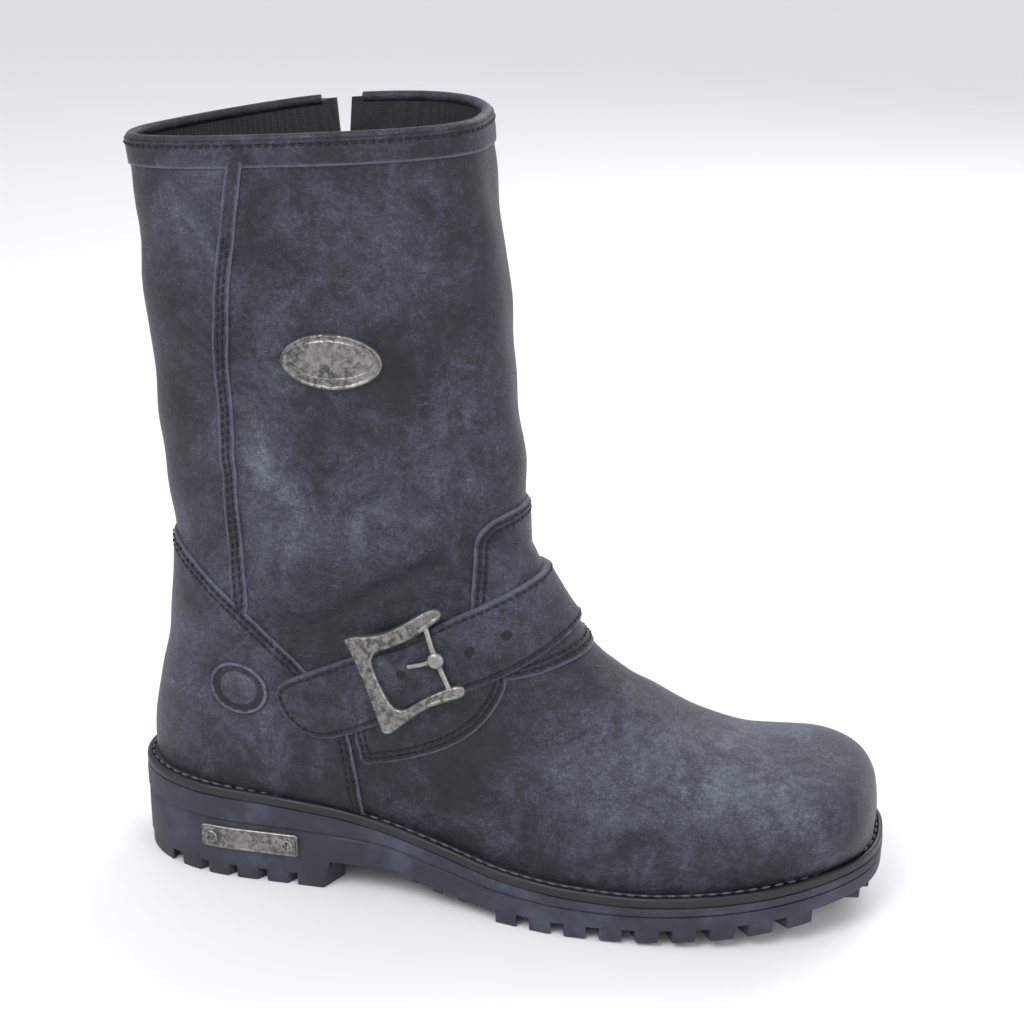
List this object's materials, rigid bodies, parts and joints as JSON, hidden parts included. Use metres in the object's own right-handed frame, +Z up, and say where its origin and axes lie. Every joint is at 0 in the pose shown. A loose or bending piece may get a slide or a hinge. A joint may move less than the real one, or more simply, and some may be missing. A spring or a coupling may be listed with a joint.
{
  "type": "engineer boot",
  "caption": "Right engineer boot: tall leather shaft, buckled instep strap, inner side zip, oval plaque, stitched welt and lugged rubber sole with a heel plate.",
  "frame": {"origin": "on the floor, midway between the heel's back and the toe tip of the sole", "axes": "+X to the toe, +Y to the inner (medial) side of the foot, +Z up"},
  "size_m": [0.328, 0.1138, 0.3299],
  "materials": {
    "leather_body": "distressed rub-off leather, satin",
    "leather_trim": "burnished leather, satin",
    "rubber_sole": "moulded rubber, matt",
    "rubber_welt": "stitched welt, matt",
    "rubber_orange": "soft rubber, matt",
    "rubber_grey": "soft rubber, matt",
    "metal_antique": "antiqued cast metal",
    "fabric_dark": "woven, dark"
  },
  "bodies": {
    "boot": {"upper": "leather_body", "heel_counter": "leather_body", "instep_panel": "leather_body", "buckle_patch": "leather_body", "strap": "leather_trim", "collar_binding": "leather_trim", "shaft_seam": "leather_trim", "zip_facing": "leather_trim", "outsole": "rubber_sole", "welt": "rubber_welt", "insole": "fabric_dark", "zip_tape_back": "fabric_dark", "zip_tape_front": "fabric_dark", "zip_slider": "metal_antique", "buckle_frame": "metal_antique", "buckle_rod": "metal_antique", "buckle_stud": "metal_antique", "badge_plaque": "metal_antique", "heel_plate": "metal_antique", "heel_screw_back": "metal_antique", "heel_screw_front": "metal_antique", "insert_oval": "rubber_orange", "insert_lobe_01": "rubber_orange", "insert_lobe_02": "rubber_orange", "insert_lobe_03": "rubber_orange", "insert_lobe_04": "rubber_orange", "insert_lobe_05": "rubber_orange", "insert_lobe_06": "rubber_orange", "insert_lobe_07": "rubber_orange", "insert_lobe_08": "rubber_orange", "insert_lobe_09": "rubber_orange", "insert_lobe_10": "rubber_orange", "insert_dot_1": "rubber_grey", "insert_dot_2": "rubber_grey", "insert_dot_3": "rubber_grey", "insert_dot_4": "rubber_grey", "insert_bar_1": "rubber_grey", "insert_bar_2": "rubber_grey", "insert_bar_3": "rubber_grey"},
    "zip_pull": {"zip_pull": "metal_antique"}
  },
  "joints": [
    {"name": "zip_pull_hinge", "type": "hinge", "parent": "boot", "child": "zip_pull", "pos_m": [-0.07933, 0.05226, 0.2855], "axis": [1, 0, 0], "range_deg": [0, 150]}
  ]
}
